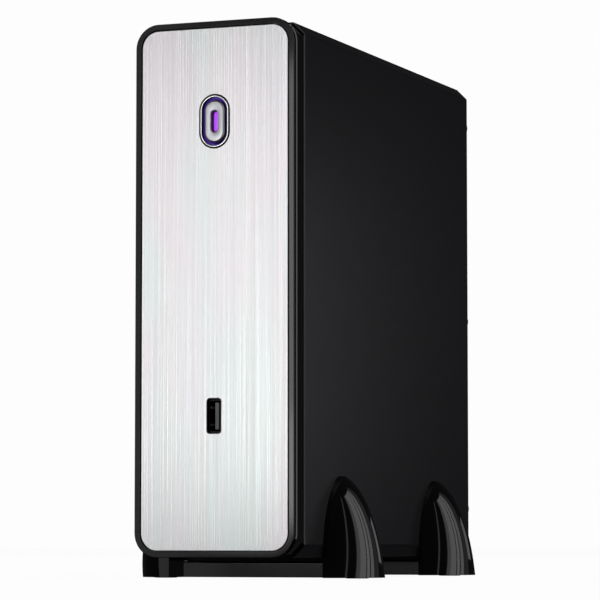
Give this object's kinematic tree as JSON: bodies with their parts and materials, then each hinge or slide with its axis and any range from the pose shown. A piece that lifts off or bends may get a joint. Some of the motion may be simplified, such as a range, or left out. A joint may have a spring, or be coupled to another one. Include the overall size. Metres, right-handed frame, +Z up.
{
  "type": "desktop computer tower",
  "caption": "Slim desktop computer tower on two cradle feet, with a brushed metal front, an oval lit power button and a sliding steel cover.",
  "frame": {"origin": "bottom centre of the whole object, on the desk", "axes": "+X to the right seen from the front, +Y from the front to the rear, +Z up; the front faces -Y"},
  "size_m": [0.108, 0.229, 0.2287],
  "materials": {
    "gloss_black": "moulded, glossy black",
    "rubber": "matt black rubber",
    "brushed_aluminium": "vertically brushed, clear anodised",
    "satin_silver": "satin silver paint",
    "purple_lens": "translucent violet, lit from behind",
    "black_steel": "fine-textured black powder coat",
    "bare_steel": "zinc plated sheet",
    "nickel": "nickel plated",
    "black_plastic": "moulded, matt black",
    "circuit_board": "green lacquered circuit board",
    "white_plastic": "moulded, off-white",
    "led_clear": "clear resin",
    "heatsink": "extruded, plain",
    "drive_case": "cast and machined",
    "cable_black": "vinyl sheath",
    "cable_red": "vinyl sheath"
  },
  "bodies": {
    "case": {"front_bezel": "gloss_black", "front_panel": "brushed_aluminium", "button_ring": "gloss_black", "light_ring": "purple_lens", "power_switch": "black_plastic", "switch_board": "circuit_board", "power_led": "led_clear", "usb_shell": "nickel", "usb_tongue": "black_plastic", "usb_board": "circuit_board", "chassis_base": "black_steel", "front_plate": "bare_steel", "rear_plate": "black_steel", "mainboard": "circuit_board", "board_screw_1": "nickel", "board_screw_2": "nickel", "board_screw_3": "nickel", "board_screw_4": "nickel", "cpu_package": "black_plastic", "cpu_heatsink": "heatsink", "cpu_fan_frame": "black_plastic", "rear_fan_frame": "black_plastic", "memory_socket": "black_plastic", "memory_module": "circuit_board", "audio_sockets": "nickel", "lan_socket": "nickel", "usb_sockets_1": "nickel", "hdmi_socket": "nickel", "vga_socket": "nickel", "usb_sockets_2": "nickel", "io_shield": "bare_steel", "dc_jack": "black_plastic", "drive_bracket": "bare_steel", "hard_drive": "drive_case", "power_board": "circuit_board", "switch_lead": "cable_black", "usb_lead": "cable_black", "sata_lead": "cable_red", "power_lead": "cable_black", "jack_lead": "cable_black", "front_foot": "gloss_black", "front_cushion": "rubber", "front_pad_left": "rubber", "front_pad_right": "rubber", "rear_foot": "gloss_black", "rear_cushion": "rubber", "rear_pad_left": "rubber", "rear_pad_right": "rubber"},
    "button": {"power_button": "satin_silver", "button_lens": "purple_lens", "switch_plunger": "black_plastic"},
    "cpu_fan": {"cpu_fan_rotor": "black_plastic"},
    "rear_fan": {"rear_fan_rotor": "black_plastic"},
    "latch_lower": {"memory_latch_lower": "white_plastic"},
    "latch_upper": {"memory_latch_upper": "white_plastic"},
    "cover_sleeve": {"cover": "black_steel"},
    "screw_1": {"thumb_screw_1": "nickel"},
    "screw_2": {"thumb_screw_2": "nickel"},
    "screw_3": {"thumb_screw_3": "nickel"}
  },
  "joints": [
    {"name": "power_button_press", "type": "slide", "parent": "case", "child": "button", "axis": [0, 1, 0], "range_m": [0, 0.0012], "stiffness_N_per_m": 600, "springref_m": -0.0016},
    {"name": "cpu_fan_spin", "type": "hinge", "parent": "case", "child": "cpu_fan", "pos_m": [0.004, 0.02055, 0.1], "axis": [1, 0, 0], "continuous": true},
    {"name": "rear_fan_spin", "type": "hinge", "parent": "case", "child": "rear_fan", "pos_m": [-0.008, 0.09755, 0.205], "axis": [0, 1, 0], "continuous": true},
    {"name": "memory_latch_lower_hinge", "type": "hinge", "parent": "case", "child": "latch_lower", "pos_m": [-0.023, -0.05525, 0.02615], "axis": [0, 1, 0], "range_deg": [0, 35]},
    {"name": "memory_latch_upper_hinge", "type": "hinge", "parent": "case", "child": "latch_upper", "pos_m": [-0.023, -0.05525, 0.16985], "axis": [0, -1, 0], "range_deg": [0, 35]},
    {"name": "cover_slide", "type": "slide", "parent": "case", "child": "cover_sleeve", "axis": [0, 1, 0], "range_m": [0, 0.22]},
    {"name": "thumb_screw_1_turn", "type": "hinge", "parent": "cover_sleeve", "child": "screw_1", "pos_m": [0.0286, 0.11055, 0.0307], "axis": [0, 1, 0], "continuous": true},
    {"name": "thumb_screw_2_turn", "type": "hinge", "parent": "cover_sleeve", "child": "screw_2", "pos_m": [0.0286, 0.11055, 0.1187], "axis": [0, 1, 0], "continuous": true},
    {"name": "thumb_screw_3_turn", "type": "hinge", "parent": "cover_sleeve", "child": "screw_3", "pos_m": [0.0286, 0.11055, 0.2107], "axis": [0, 1, 0], "continuous": true}
  ]
}
